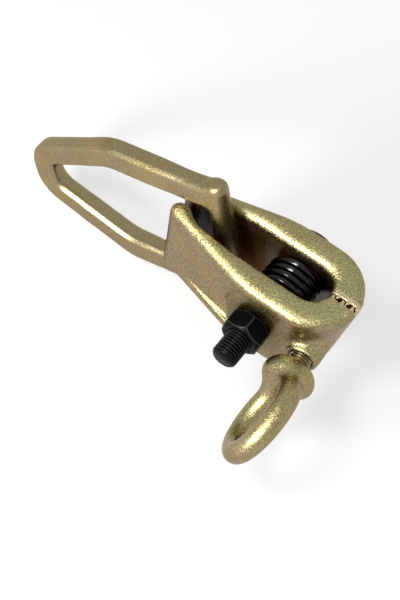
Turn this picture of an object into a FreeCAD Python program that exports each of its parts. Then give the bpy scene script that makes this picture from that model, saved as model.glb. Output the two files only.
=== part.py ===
import FreeCAD, Part
# A two-way self-tightening pull clamp, as used to straighten bent sheet metal.
#
# Two forged jaws stand face to face and are held by one bolt with a nut. Their curled
# noses stand inside a long forged ring. Pulling the ring draws its short bar against the
# noses, the jaws rock on the bolt and the toothed bite closes. A spring on the bolt opens
# the jaws again when the nut is slackened. An eye bolt in the side of the near jaw takes a
# second line of pull.
#
# Frame: millimetres. The origin is the middle of the bite, +X points out of the mouth,
# +Y runs from the nut side to the head side of the bolt, +Z is up the height of the teeth.
import math
import os
from FreeCAD import Vector

# The pair of jaws, seen from above
BITE_LENGTH = 19.8            # toothed stretch along X
BOLT_TO_BITE = 39.0           # bolt axis to the middle of the bite
BOLT_TO_NOSE = 75.7           # bolt axis to the blunt end of the noses
JAW_HEIGHT = 57.4             # up the teeth
JAW_HALF_WIDTH = 29.3         # outer side of each jaw at the bolt, from the mid plane
NOSE_HALF_WIDTH = 12.1        # where the outer side would meet the nose end
SLOT_HALF_WIDTH = 12.0        # inner wall at the bolt, from the mid plane
SLOT_NECK = 8.6               # inner wall just in front of the noses
NOSE_GAP = 1.95               # half the gap between the two nose tips
NOSE_THICKNESS = 11.4         # along X, at the tip
NOSE_CURL = 5.5               # length along X over which the inner wall curls in
WALL_WIDENS_AT = 30.0         # behind the bolt axis, where the slot is at full width
SIDE_TURNS_AT = 12.0          # behind the bolt axis, where the outer side turns straight
FRONT_SET_BACK = 8.8          # the front leans back by this much at the bottom
NOSE_CORNER = 5.0             # corner radii in plan
NOSE_TIP_ROUND = 5.6
SIDE_BEND = 90.0
WALL_BEND = 50.0
CURL_BEND = 13.0
TOP_EDGE_ROUND = 4.2          # rounding of the long forged edges
BOTTOM_EDGE_ROUND = 2.2

# Web between the thick rims on the outer side of each jaw
WEB_DEPTH = 3.2               # how far the web lies in from the rims
TOP_RIM = 9.5                 # height of the rims
BOTTOM_RIM = 8.0
WEB_STARTS_AT = 60.0          # behind the bolt axis
WEB_FULL_AT = 26.0            # behind the bolt axis, where it has its full depth
WEB_ENDS_AT = 2.0             # behind the bolt axis, under the pad
WEB_EDGE_ROUND = 2.4

# Round pads under the nut and the bolt head
PAD_RADIUS = 21.0
PAD_PROUD = 0.6               # past the outer side of the near jaw
HEAD_PAD_SUNK = 1.5           # within the outer side of the far jaw
PAD_EDGE_ROUND = 1.2

# Interlocking teeth, with their steep sides towards the slot so that they hold the sheet
TOOTH_PITCH = 6.4
TOOTH_COUNT = 4
FIRST_GROOVE_X = -8.4         # deepest corner of the first groove
GROOVE_FLOOR = 4.0            # length of a groove's floor along X
GROOVE_DEPTH = 3.2            # at its deepest corner, nearest the mouth
GROOVE_RISE = 0.8             # by which its floor rises towards the slot
GROOVE_DRAFT = 0.5            # lean of its end walls
TOOTH_TIP = 0.6               # blunt tip of a tooth of the far jaw
TOOTH_FLANK = 2.5             # length along X of a tooth's long flank
TOOTH_PLAY = 0.5              # gap between the toothed faces of the two jaws

# Bolt, nut and spring
BOLT_DIAMETER = 16.0
BOLT_HOLE_PLAY = 1.0          # radial, so that the jaws can rock
HEX_ACROSS_FLATS = 24.0
HEAD_HEIGHT = 10.0
NUT_HEIGHT = 13.0
NUT_THREAD_PLAY = 0.05        # radial
HEAD_SLACK = 0.75             # between the head and the far jaw, so that it can rock
NUT_SEAT_PLAY = 0.1
BOLT_END_PAST_NUT = 15.6
BOLT_END_CHAMFER = 1.3
HEX_CHAMFER = 2.0
NUT_TURNED = 8.0              # degrees, from a corner straight up
HEAD_TURNED = 30.0
SPRING_WIRE = 4.0
SPRING_OUTER = 34.0
SPRING_OFF_CENTRE = 3.0       # it sits loose round the bolt, towards the mouth
SPRING_RAISED = 3.4
SPRING_TURNS = 4.0
SPRING_SEAT_PLAY = 0.15

# Eye bolt and its boss
EYE_AXIS_X = -4.7
EYE_AXIS_Z = -1.5
EYE_BOSS_RADIUS = 11.0
EYE_BOSS_FACE = 31.0          # from the mid plane
EYE_BOSS_EDGE_ROUND = 1.5
EYE_THREAD = 14.0
EYE_THREAD_PLAY = 0.05        # radial
EYE_HOLE_DEPTH = 22.0
EYE_HOLE_CHAMFER = 1.2
EYE_SHANK_SHOWING = 6.0       # from the boss to the collar
EYE_SHANK_BOTTOM_PLAY = 1.0
COLLAR_RADIUS = 15.5
COLLAR_THICKNESS = 13.0
COLLAR_EDGE_ROUND = 6.0
EYE_NECK_RADIUS = 12.5        # of the cone that leads from the collar into the ring
EYE_NECK_LENGTH = 8.0
EYE_RING_RADIUS = 23.6        # to the middle of its bar
EYE_BAR_RADIUS = 6.6
EYE_OVERLAP = 5.6             # how deep the ring's bar runs into the collar
EYE_TURNED = 22.0             # degrees about its thread, from upright
EYE_SPLAY = 5.0               # degrees, its thread points a little to the front

# Pull ring, measured from the point between the noses on which it swings
RING_PIVOT = 69.0             # behind the bolt axis
RING_THICKNESS = 12.5
RING_HALF_HEIGHT = 48.0
SHORT_BAR_HALF = 51.0         # the sides flare out a little towards the short bar
FLARE_AT = 12.0               # in front of the pivot
FLARE_BEND = 30.0
RING_WINDOW_HALF = 30.3
SHORT_BAR_AT = 30.2           # its axis, in front of the pivot
SHORT_BAR_RADIUS = 7.0        # it is round with two flats, as thick as the ring
SHORT_BAR_END_ROUND = 2.6
KNEE_AT = 47.0                # behind the pivot
APEX_OUTER = 113.8
APEX_HALF_HEIGHT = 18.4
WINDOW_END = 97.8
WINDOW_END_HALF = 8.0
WINDOW_CORNER = 5.0
KNEE_BEND = 32.0
APEX_BEND = 23.0
WINDOW_END_BEND = 9.0
RING_EDGE_CUT = 2.3           # bevel along every edge
RING_PITCH = 16.0             # degrees, the far end of the ring hangs down
RING_YAW = 0.8                # degrees, the far end of the ring stands to the nut side

BOLT_X = -BOLT_TO_BITE
HALF = JAW_HEIGHT / 2.0
PAD_FACE = JAW_HALF_WIDTH + PAD_PROUD
HEAD_PAD_FACE = JAW_HALF_WIDTH - HEAD_PAD_SUNK
UP = Vector(0, 0, 1)
ACROSS = Vector(0, 1, 0)


def unit(vector):
    """The same direction with a length of one."""
    return vector.multiply(1.0 / vector.Length) if vector.Length else vector


def rounded_outline(corners, z=0.0):
    """A closed wire through corners (x, y, radius), each rounded by a tangent arc."""
    points = [Vector(x, y, z) for x, y, radius in corners]
    count = len(points)
    spans = []
    for i in range(count):
        here = points[i]
        into = unit(here - points[i - 1])
        out = unit(points[(i + 1) % count] - here)
        radius = corners[i][2]
        half_turn = into.getAngle(out) / 2.0
        back = radius * math.tan(half_turn)
        start = here - into * back
        end = here + out * back
        middle = here
        if radius > 0:
            inward = unit(out - into)
            middle = here + inward * (radius / math.cos(half_turn) - radius)
        spans.append((start, middle, end, radius))
    edges = []
    for i in range(count):
        start, middle, end, radius = spans[i]
        if radius > 0:
            edges.append(Part.Arc(start, middle, end).toShape())
        following = spans[(i + 1) % count][0]
        if (following - end).Length > 1e-6:
            edges.append(Part.makeLine(end, following))
    return Part.Wire(edges)


def cylinder_along_y(radius, y_low, y_high, x=0.0, z=0.0):
    """A round bar whose axis runs along Y."""
    return Part.makeCylinder(radius, y_high - y_low, Vector(x, y_low, z), ACROSS)


def jaw_plan(side, front_x, z):
    """Plan of one jaw at height z, run on past the bite; side is +1 far, -1 near."""
    nose_x = BOLT_X - BOLT_TO_NOSE
    slot_front = -BITE_LENGTH / 2.0
    past = -SLOT_HALF_WIDTH
    corners = [
        (front_x, past, 0.0),
        (front_x, JAW_HALF_WIDTH, JAW_HALF_WIDTH),
        (BOLT_X - SIDE_TURNS_AT, JAW_HALF_WIDTH, SIDE_BEND),
        (nose_x, NOSE_HALF_WIDTH, NOSE_CORNER),
        (nose_x, NOSE_GAP, NOSE_TIP_ROUND),
        (nose_x + NOSE_THICKNESS, NOSE_GAP, NOSE_TIP_ROUND),
        (nose_x + NOSE_THICKNESS + NOSE_CURL, SLOT_NECK, CURL_BEND),
        (BOLT_X - WALL_WIDENS_AT, SLOT_HALF_WIDTH, WALL_BEND),
        (slot_front, SLOT_HALF_WIDTH, SLOT_HALF_WIDTH),
        (slot_front, past, 0.0),
    ]
    return rounded_outline([(x, side * y, r) for x, y, r in corners], z)


def jaw_blank(side, play):
    """The forged J of one jaw, leaning back at the front, cut off at the bite."""
    front = BITE_LENGTH / 2.0
    top = jaw_plan(side, front, HALF)
    bottom = jaw_plan(side, front - FRONT_SET_BACK, -HALF)
    blank = Part.makeLoft([bottom, top], True, True)
    for height, radius in ((HALF, TOP_EDGE_ROUND), (-HALF, BOTTOM_EDGE_ROUND)):
        rims = []
        for edge in blank.Edges:
            level = all(abs(v.Z - height) < 1e-6 for v in edge.Vertexes)
            at_end = all(side * v.Y < 1e-6 - SLOT_HALF_WIDTH for v in edge.Vertexes)
            if level and not at_end:
                rims.append(edge)
        blank = blank.makeFillet(radius, rims)
    depth = SLOT_HALF_WIDTH + 5.0
    low = play - depth if side > 0 else 0.0 - play
    return blank.cut(Part.makeBox(200, depth, 100, Vector(-150, low, -50)))


def web_cutter(side):
    """The space taken out of the outer side of a jaw between its top and bottom rim."""
    start_x = BOLT_X - WEB_STARTS_AT
    slope = (JAW_HALF_WIDTH - NOSE_HALF_WIDTH) / (BOLT_TO_NOSE - SIDE_TURNS_AT)
    start_y = JAW_HALF_WIDTH - slope * (WEB_STARTS_AT - SIDE_TURNS_AT) + 0.2
    full_y = JAW_HALF_WIDTH - slope * (WEB_FULL_AT - SIDE_TURNS_AT) - WEB_DEPTH
    floor = JAW_HALF_WIDTH - WEB_DEPTH
    outside = JAW_HALF_WIDTH + 12.0
    corners = [
        (start_x, start_y, 0.0),
        (BOLT_X - WEB_FULL_AT, full_y, 30.0),
        (BOLT_X - WEB_ENDS_AT, floor, 0.0),
        (BOLT_X - WEB_ENDS_AT, outside, 0.0),
        (start_x, outside, 0.0),
    ]
    low = -HALF + BOTTOM_RIM
    wire = rounded_outline([(x, side * y, r) for x, y, r in corners], low)
    height = JAW_HEIGHT - BOTTOM_RIM - TOP_RIM
    cutter = Part.Face(wire).extrude(UP * height)
    long_edges = []
    for edge in cutter.Edges:
        level = abs(edge.Vertexes[0].Z - edge.Vertexes[-1].Z) < 1e-6
        inner = all(side * v.Y < JAW_HALF_WIDTH + 1.0 for v in edge.Vertexes)
        if level and inner:
            long_edges.append(edge)
    return cutter.makeFillet(WEB_EDGE_ROUND, long_edges)


def pad(side):
    """The round pad that the nut bears on, and the room over the one for the bolt head."""
    low = SLOT_HALF_WIDTH + 2.0
    face = HEAD_PAD_FACE if side > 0 else PAD_FACE
    disc = cylinder_along_y(PAD_RADIUS, low, face, BOLT_X)
    room = cylinder_along_y(PAD_RADIUS, face, face + PAD_RADIUS, BOLT_X)
    if side < 0:
        rim = [e for e in disc.Edges if all(abs(v.Y - face) < 1e-6 for v in e.Vertexes)]
        disc = disc.makeFillet(PAD_EDGE_ROUND, rim)
        return disc.mirror(Vector(0, 0, 0), ACROSS), room.mirror(Vector(0, 0, 0), ACROSS)
    return disc, room


def jaw(side, play):
    """One jaw with its web, its pad and the bolt's hole, before the teeth."""
    disc, room = pad(side)
    body = jaw_blank(side, play).cut(web_cutter(side)).fuse(disc).cut(room)
    reach = PAD_FACE + 5.0
    hole = cylinder_along_y(BOLT_DIAMETER / 2 + BOLT_HOLE_PLAY, -reach, reach, BOLT_X)
    return body.cut(hole)


def upright_bar(corners):
    """A bar along Z, as high as the jaws, through corners (x, y)."""
    points = [Vector(x, y, -HALF) for x, y in corners]
    return Part.Face(Part.makePolygon(points + points[:1])).extrude(UP * JAW_HEIGHT)


def groove_places():
    """X of the deepest corner of each groove, from the slot to the mouth."""
    return [FIRST_GROOVE_X + TOOTH_PITCH * i for i in range(TOOTH_COUNT)]


def groove(x):
    """The space of one groove in the near jaw, steep towards the mouth."""
    floor_start = x - GROOVE_FLOOR
    shallow = GROOVE_DEPTH - GROOVE_RISE
    return upright_bar([
        (floor_start - GROOVE_DRAFT, 0.1),
        (floor_start - GROOVE_DRAFT, 0.0),
        (floor_start, -shallow),
        (x, -GROOVE_DEPTH),
        (x + GROOVE_DRAFT, 0.0),
        (x + GROOVE_DRAFT, 0.1),
    ])


def tooth(x):
    """One tooth of the far jaw, in the slot side of the groove at x."""
    tip_start = x - GROOVE_FLOOR + TOOTH_PLAY
    tip_end = tip_start + TOOTH_TIP
    tip = GROOVE_DEPTH - GROOVE_RISE - TOOTH_PLAY
    root = TOOTH_PLAY + 0.5
    return upright_bar([
        (tip_start - GROOVE_DRAFT, root),
        (tip_start, -tip),
        (tip_end, -tip),
        (tip_end + TOOTH_FLANK, root),
    ])


def splayed(shape):
    """Swing the boss, its hole or the eye bolt a little to the front."""
    shape.rotate(Vector(EYE_AXIS_X, -EYE_BOSS_FACE, EYE_AXIS_Z), UP, EYE_SPLAY)
    return shape


def eye_boss():
    """The round boss on the front of the near jaw."""
    boss = cylinder_along_y(EYE_BOSS_RADIUS, -EYE_BOSS_FACE, -SLOT_HALF_WIDTH - 2.0, EYE_AXIS_X, EYE_AXIS_Z)
    rim = [e for e in boss.Edges if all(abs(v.Y + EYE_BOSS_FACE) < 1e-6 for v in e.Vertexes)]
    return splayed(boss.makeFillet(EYE_BOSS_EDGE_ROUND, rim))


def eye_hole():
    """The tapped hole in the boss with its countersunk mouth."""
    radius = EYE_THREAD / 2 + EYE_THREAD_PLAY
    bottom = -EYE_BOSS_FACE + EYE_HOLE_DEPTH
    hole = cylinder_along_y(radius, -EYE_BOSS_FACE - 1.0, bottom, EYE_AXIS_X, EYE_AXIS_Z)
    face_centre = Vector(EYE_AXIS_X, -EYE_BOSS_FACE, EYE_AXIS_Z)
    mouth = Part.makeCone(radius + EYE_HOLE_CHAMFER, radius, EYE_HOLE_CHAMFER, face_centre, ACROSS)
    return splayed(hole.fuse(mouth))


def near_jaw():
    """The jaw on the nut side: grooved bite, and the boss for the eye bolt."""
    body = jaw(-1, 0.0).fuse(eye_boss()).cut(eye_hole())
    for x in groove_places():
        body = body.cut(groove(x))
    return body.removeSplitter()


def far_jaw():
    """The jaw on the head side: its teeth stand in the grooves of the near jaw."""
    body = jaw(1, TOOTH_PLAY)
    zone = front_zone()
    for x in groove_places()[1:]:
        body = body.fuse(tooth(x).common(zone))
    return body.removeSplitter()


def front_zone():
    """The space inside the leaning front, used to trim the ends of the teeth."""
    front = BITE_LENGTH / 2.0
    back = -BITE_LENGTH / 2.0
    points = [
        Vector(back, -10, -HALF),
        Vector(front - FRONT_SET_BACK, -10, -HALF),
        Vector(front, -10, HALF),
        Vector(back, -10, HALF),
    ]
    face = Part.Face(Part.makePolygon(points + points[:1]))
    return face.extrude(Vector(0, 20, 0))


def hexagon(y_low, y_high, chamfer_low, chamfer_high, turned):
    """A hexagon bar along Y with coned corners at the ends that ask for them."""
    across_corners = HEX_ACROSS_FLATS / math.cos(math.radians(30))
    radius = across_corners / 2
    points = []
    for i in range(6):
        angle = math.radians(turned + 60 * i)
        points.append(Vector(radius * math.sin(angle), y_low, radius * math.cos(angle)))
    prism = Part.Face(Part.makePolygon(points + points[:1])).extrude(Vector(0, y_high - y_low, 0))
    drop = HEX_CHAMFER * math.tan(math.radians(30))
    outline = [Vector(0, y_low, 0)]
    if chamfer_low:
        outline += [Vector(radius - HEX_CHAMFER, y_low, 0), Vector(radius + 0.01, y_low + drop, 0)]
    else:
        outline += [Vector(radius + 0.01, y_low, 0)]
    if chamfer_high:
        outline += [Vector(radius + 0.01, y_high - drop, 0), Vector(radius - HEX_CHAMFER, y_high, 0)]
    else:
        outline += [Vector(radius + 0.01, y_high, 0)]
    outline += [Vector(0, y_high, 0)]
    blank = Part.Face(Part.makePolygon(outline + outline[:1])).revolve(Vector(0, 0, 0), ACROSS, 360)
    bar = prism.common(blank)
    bar.translate(Vector(BOLT_X, 0, 0))
    return bar


def jaw_bolt():
    """The hexagon-headed bolt through both jaws."""
    seat = HEAD_PAD_FACE + HEAD_SLACK
    head = hexagon(seat, seat + HEAD_HEIGHT, False, True, HEAD_TURNED)
    end = -(PAD_FACE + NUT_SEAT_PLAY + NUT_HEIGHT + BOLT_END_PAST_NUT)
    shank = cylinder_along_y(BOLT_DIAMETER / 2, end, seat, BOLT_X)
    tip = [e for e in shank.Edges if all(abs(v.Y - end) < 1e-6 for v in e.Vertexes)]
    shank = shank.makeChamfer(BOLT_END_CHAMFER, tip)
    return head.fuse(shank).removeSplitter()


def jaw_nut():
    """The nut on the near side."""
    seat = -(PAD_FACE + NUT_SEAT_PLAY)
    body = hexagon(seat - NUT_HEIGHT, seat, True, True, NUT_TURNED)
    radius = BOLT_DIAMETER / 2 + NUT_THREAD_PLAY
    return body.cut(cylinder_along_y(radius, seat - NUT_HEIGHT - 1, seat + 1, BOLT_X))


def helix_point(angle, radius, start, rise):
    """A point of the spring's centre line; rise is its climb per turn along Y."""
    x = BOLT_X + SPRING_OFF_CENTRE + radius * math.cos(angle)
    z = SPRING_RAISED - radius * math.sin(angle)
    return Vector(x, start + rise * angle / (2 * math.pi), z)


def helix_direction(angle, radius, rise):
    """The direction in which the spring's centre line runs at an angle."""
    slope = rise / (2 * math.pi)
    return unit(Vector(-radius * math.sin(angle), slope, -radius * math.cos(angle)))


def arc_from_corner(start, corner, end):
    """The arc that leaves start and reaches end along the two legs of a corner."""
    chord_middle = (start + end) * 0.5
    leg = (start - corner).Length
    half_angle = math.acos((chord_middle - corner).Length / leg)
    radius = leg * math.tan(half_angle)
    centre_distance = leg / math.cos(half_angle)
    middle = corner + unit(chord_middle - corner) * (centre_distance - radius)
    return Part.Arc(start, middle, end).toShape()


def biarc(start, start_way, end, end_way):
    """Two arcs, tangent to each other, that join two points with given directions."""
    span = end - start
    ways = start_way + end_way
    along = span.dot(ways)
    bend = 2 - 2 * start_way.dot(end_way)
    leg = (-along + math.sqrt(along ** 2 + bend * span.dot(span))) / bend
    first = start + start_way * leg
    second = end - end_way * leg
    join = (first + second) * 0.5
    return [arc_from_corner(start, first, join), arc_from_corner(join, second, end)]


def spring():
    """The compression spring between the jaws, one unbroken tube."""
    radius = (SPRING_OUTER - SPRING_WIRE) / 2
    start = -SLOT_HALF_WIDTH + SPRING_WIRE / 2 + SPRING_SEAT_PLAY
    rise = -2 * start / SPRING_TURNS
    quarters = int(round(SPRING_TURNS * 4))
    edges = []
    for i in range(quarters):
        a = i * math.pi / 2
        b = a + math.pi / 2
        edges += biarc(helix_point(a, radius, start, rise), helix_direction(a, radius, rise),
                       helix_point(b, radius, start, rise), helix_direction(b, radius, rise))
    path = Part.Wire(edges)
    ring = Part.Circle(helix_point(0, radius, start, rise), helix_direction(0, radius, rise), SPRING_WIRE / 2)
    tube = path.makePipeShell([Part.Wire(ring.toShape())], True, False)
    report_spring_gap(radius, start, rise)
    return tube


def report_spring_gap(radius, start, rise):
    """Print the least gap between one curl and the next, measured on points."""
    steps = 48
    points = [helix_point(2 * math.pi * i / steps, radius, start, rise) for i in range(int(SPRING_TURNS * steps) + 1)]
    least = min((points[i] - points[j]).Length
                for i in range(len(points)) for j in range(i + steps // 2, len(points)))
    print("least gap of the spring to itself: %.2f mm" % (least - SPRING_WIRE))


def eye_bolt():
    """The forged eye bolt, its shank in the boss of the near jaw."""
    face = -EYE_BOSS_FACE
    collar_top = face - EYE_SHANK_SHOWING
    shank_end = face + EYE_HOLE_DEPTH - EYE_SHANK_BOTTOM_PLAY
    shank = cylinder_along_y(EYE_THREAD / 2, collar_top - 1.0, shank_end)
    collar_low = collar_top - COLLAR_THICKNESS
    collar = cylinder_along_y(COLLAR_RADIUS, collar_low, collar_top)
    rims = [e for e in collar.Edges if len(e.Vertexes) == 1]
    collar = collar.makeFillet(COLLAR_EDGE_ROUND, rims)
    neck_top = Vector(0, collar_low + 1.0, 0)
    neck = Part.makeCone(EYE_NECK_RADIUS, EYE_BAR_RADIUS, EYE_NECK_LENGTH, neck_top, Vector(0, -1, 0))
    eye_y = collar_low + EYE_OVERLAP - EYE_BAR_RADIUS - EYE_RING_RADIUS
    ring = Part.makeTorus(EYE_RING_RADIUS, EYE_BAR_RADIUS, Vector(0, eye_y, 0), Vector(1, 0, 0))
    body = shank.fuse(collar).fuse(neck).fuse(ring)
    body.rotate(Vector(0, 0, 0), ACROSS, EYE_TURNED)
    body.translate(Vector(EYE_AXIS_X, 0, EYE_AXIS_Z))
    return splayed(body)


def pull_ring():
    """The long forged ring around the noses of both jaws."""
    side_end = SHORT_BAR_HALF - SHORT_BAR_END_ROUND / 2
    outer = rounded_outline([
        (FLARE_AT, -RING_HALF_HEIGHT, FLARE_BEND),
        (SHORT_BAR_AT, -side_end, 0.0),
        (SHORT_BAR_AT, side_end, 0.0),
        (FLARE_AT, RING_HALF_HEIGHT, FLARE_BEND),
        (-KNEE_AT, RING_HALF_HEIGHT, KNEE_BEND),
        (-APEX_OUTER, APEX_HALF_HEIGHT, APEX_BEND),
        (-APEX_OUTER, -APEX_HALF_HEIGHT, APEX_BEND),
        (-KNEE_AT, -RING_HALF_HEIGHT, KNEE_BEND),
    ])
    window = rounded_outline([
        (SHORT_BAR_AT, -RING_WINDOW_HALF, WINDOW_CORNER),
        (SHORT_BAR_AT, RING_WINDOW_HALF, WINDOW_CORNER),
        (-KNEE_AT, RING_WINDOW_HALF, KNEE_BEND),
        (-WINDOW_END, WINDOW_END_HALF, WINDOW_END_BEND),
        (-WINDOW_END, -WINDOW_END_HALF, WINDOW_END_BEND),
        (-KNEE_AT, -RING_WINDOW_HALF, KNEE_BEND),
    ])
    blank = Part.Face(outer).extrude(UP * RING_THICKNESS)
    hole = Part.Face(window).extrude(UP * RING_THICKNESS)
    ring = blank.cut(hole)
    level = []
    for edge in ring.Edges:
        flat = abs(edge.Vertexes[0].Z - edge.Vertexes[-1].Z) < 1e-6
        at_bar = all(abs(v.X - SHORT_BAR_AT) < 1e-6 for v in edge.Vertexes)
        if flat and not at_bar:
            level.append(edge)
    ring = ring.makeChamfer(RING_EDGE_CUT, level)
    ring.translate(Vector(0, 0, -RING_THICKNESS / 2))
    bar = cylinder_along_y(SHORT_BAR_RADIUS, -SHORT_BAR_HALF, SHORT_BAR_HALF, SHORT_BAR_AT)
    ends = [e for e in bar.Edges if len(e.Vertexes) == 1]
    bar = bar.makeFillet(SHORT_BAR_END_ROUND, ends)
    slab = Part.makeBox(4 * SHORT_BAR_RADIUS, 4 * SHORT_BAR_HALF, RING_THICKNESS,
                        Vector(SHORT_BAR_AT - 2 * SHORT_BAR_RADIUS, -2 * SHORT_BAR_HALF, -RING_THICKNESS / 2))
    ring = ring.fuse(bar.common(slab))
    ring.rotate(Vector(0, 0, 0), Vector(1, 0, 0), 90)
    ring.rotate(Vector(0, 0, 0), ACROSS, -RING_PITCH)
    ring.rotate(Vector(0, 0, 0), UP, RING_YAW)
    ring.translate(Vector(BOLT_X - RING_PIVOT, 0, 0))
    return ring


def main():
    """Make every piece and write it under its own name."""
    pieces = {
        "near_jaw": near_jaw,
        "far_jaw": far_jaw,
        "jaw_bolt": jaw_bolt,
        "jaw_nut": jaw_nut,
        "jaw_spring": spring,
        "eye_bolt": eye_bolt,
        "pull_ring": pull_ring,
    }
    os.makedirs("parts", exist_ok=True)
    for name, make in pieces.items():
        shape = make()
        solids = shape.Solids
        print(name, "solids", len(solids), "valid", shape.isValid(), "volume %.0f" % shape.Volume)
        if len(solids) == 1:
            shape = solids[0]
        shape.exportStep("parts/" + name + ".step")


main()
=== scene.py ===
"""The looks of a two-way self-tightening pull clamp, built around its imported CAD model.

The jaws and the pull ring are drawn again from the CAD solids with their edges worn round.
The bolt, the nut and the eye bolt are drawn again with their threads, their chamfers and
the flowing form of a forging. The spring is the CAD solid with a better finish.
"""
import math

import bmesh
import bpy
import numpy as np
from mathutils import Matrix, Vector
from mathutils.bvhtree import BVHTree


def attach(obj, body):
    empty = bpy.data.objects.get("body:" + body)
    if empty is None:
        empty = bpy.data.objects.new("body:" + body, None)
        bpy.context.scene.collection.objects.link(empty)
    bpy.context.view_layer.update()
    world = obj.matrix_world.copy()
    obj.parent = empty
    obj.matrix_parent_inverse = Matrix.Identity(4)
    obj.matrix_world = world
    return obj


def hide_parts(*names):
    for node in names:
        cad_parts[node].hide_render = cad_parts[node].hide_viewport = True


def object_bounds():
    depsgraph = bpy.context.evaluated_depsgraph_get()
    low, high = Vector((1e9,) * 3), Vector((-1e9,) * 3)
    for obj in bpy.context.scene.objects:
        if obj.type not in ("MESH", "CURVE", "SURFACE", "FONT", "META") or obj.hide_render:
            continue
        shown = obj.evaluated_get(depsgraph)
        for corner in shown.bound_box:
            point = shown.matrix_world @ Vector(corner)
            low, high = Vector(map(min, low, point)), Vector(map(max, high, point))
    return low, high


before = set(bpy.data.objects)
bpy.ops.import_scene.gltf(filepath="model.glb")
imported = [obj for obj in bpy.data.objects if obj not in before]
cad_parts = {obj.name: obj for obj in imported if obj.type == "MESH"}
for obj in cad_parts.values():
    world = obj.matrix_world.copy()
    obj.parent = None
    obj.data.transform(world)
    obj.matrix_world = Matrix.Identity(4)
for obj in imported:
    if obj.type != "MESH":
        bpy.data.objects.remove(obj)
CAD_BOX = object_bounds()

bl_info = {
    "name": "Pull clamp looks",
    "version": (1, 0, 0),
    "blender": (4, 5, 0),
    "location": "3D View > Sidebar > Clamp",
    "description": "Dresses the CAD model of a sheet metal pull clamp and sets up its studio",
    "category": "Object",
}

MM = 0.001

# Places that are shared with the CAD model, in millimetres: the bolt's axis and end, the
# seats of its head and of its nut, the eye bolt's axis in X and Z and the face of its boss.
# The eye bolt is splayed and turned by these degrees.
BOLT_X = -39.0
BOLT_END_Y = -58.6
HEAD_SEAT_Y = 28.55
NUT_SEAT_Y = -30.0
EYE_AXIS = (-4.7, -1.5)
EYE_BOSS_FACE_Y = -31.0
EYE_SPLAY = 5.0
EYE_TURNED = 22.0

# How far the drawn fasteners stay inside the solids that they replace, in millimetres
INSET = 0.02

# The hexagons' coned ends: how far inside the flats they start and how fast they widen. The
# width of the rubbed wear and painted highlight along their edges and the countersink of the
# nut's bore, in millimetres.
# The turn of the head and of the nut, in degrees.
NUT_CONE = (0.7, 1.15)
HEAD_CONE = (0.3, 1.73)
EDGE_WEAR_AND_HIGHLIGHT = 0.32
NUT_MOUTH = 0.9
HEAD_TURNED = 30.0
NUT_TURNED = 8.0

# The threads: their depth in pitches. The eye bolt's pitch, the cone at the bolt's end and
# the length over which the bolt's thread runs out, in millimetres.
BOLT_THREAD_DEPTH = 0.58
EYE_THREAD_DEPTH = 0.55
EYE_PITCH = 2.0
BOLT_END_CONE = 1.35
RUN_OUT = 3.0

# Points around a round piece and around a hexagon
ROUND_COLUMNS = 96
HEXAGON_COLUMNS = 180

# The skins of the forgings, in millimetres: the step of their grid, the room around them,
# a shift that keeps the grid off flat faces, how deep the surface is felt, and how widely
# the edges of the jaws and of the ring are worn
GRID_STEP = 0.6
GRID_SPARE = 4.0
GRID_SHIFT = 0.137
SKIN_DEPTH = 1.5
JAW_WEAR = 2.4
RING_WEAR = 1.8

# Where the forgings keep the solid's crisp edges and where their wear is full, in
# millimetres: for each limit the place where it counts in full and the place where it is
# gone. The shares say how crisp a jaw's lower rim and the ring stay, and how soft its tip is.
CRISP_BITE_X = (-15.0, -18.0)
CRISP_TEETH_Y = (6.0, 9.0)
CRISP_BOLT = (13.0, 15.0)
CRISP_EYE = (8.5, 10.5)
CRISP_RIM_Z = (-12.0, -8.0)
CRISP_RIM_SHARE = 0.75
EYE_SIDE_Y = -12.0
SOFT_BAR_X = (-116.0, -132.0)
SOFT_BAR_Z = (28.0, 12.0)
SOFT_TIP_X = (-182.0, -176.0)
SOFT_TIP_SHARE = 0.5
CRISP_RING_SHARE = 0.95

# The ball that cuts the eye bolt's collar: how far below the collar's middle it lies, its
# radius, and how softly it cuts, in millimetres
COLLAR_BALL_DROP = 5.0
COLLAR_BALL_RADIUS = 17.0
COLLAR_BALL_BLEND = 2.0

# Where painted shade darkens the jaws' plating in the slot, at its ends and round the nut,
# and where the teeth are worn, in millimetres: for each limit the place where the change is
# full and the place where it is gone
SLOT_WALL = (11.9, 13.4)
SLOT_FRONT = (-13.0, -9.5)
SLOT_TOP = (15.0, 25.5)
SLOT_MIDDLE_X = -60.0
SLOT_ENDS = (38.0, 22.0)
# Painted shade and painted reflection of the dark nut: its reach from the bolt's axis and the
# side where it lies
NUT_SHADE_RING = (15.0, 30.0)
NUT_SHADE_SIDE = (-25.0, -21.0)
TEETH_ACROSS = (2.6, 4.2)
TEETH_FRONT = (9.5, 11.5)
TEETH_REAR = (-9.0, -11.0)

# The photograph's camera: its place and the directions of its right, up and back
CAMERA_AT = (113.7, -397.2, 692.0)
CAMERA_RIGHT = (0.80561, 0.58549, 0.09048)
CAMERA_UP = (-0.54575, 0.67399, 0.49788)
CAMERA_BACK = (0.23052, -0.45048, 0.86251)
CAMERA_LENS = 84.0

# The studio, in metres: what the lamps look at, their places, the floor's half width and
# how far it lies under the clamp. The floor's glow is the share of white that is seen in it.
LAMP_AIM = (-0.08, -0.02, 0.0)
KEY_LAMP_AT = (-0.31, -0.88, 0.45)
HIGH_LAMP_AT = (-0.31, -0.44, 0.88)
FLOOR_REACH = 3.0
FLOOR_DROP = 0.001
FLOOR_GLOW = 0.6


def linear(hex_colour):
    """An sRGB colour written as RRGGBB, turned to the linear RGBA that shaders take."""
    values = np.array([int(hex_colour[i:i + 2], 16) for i in (0, 2, 4)]) / 255.0
    low = values / 12.92
    high = ((values + 0.055) / 1.055) ** 2.4
    return tuple(np.where(values <= 0.04045, low, high)) + (1.0,)


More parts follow.
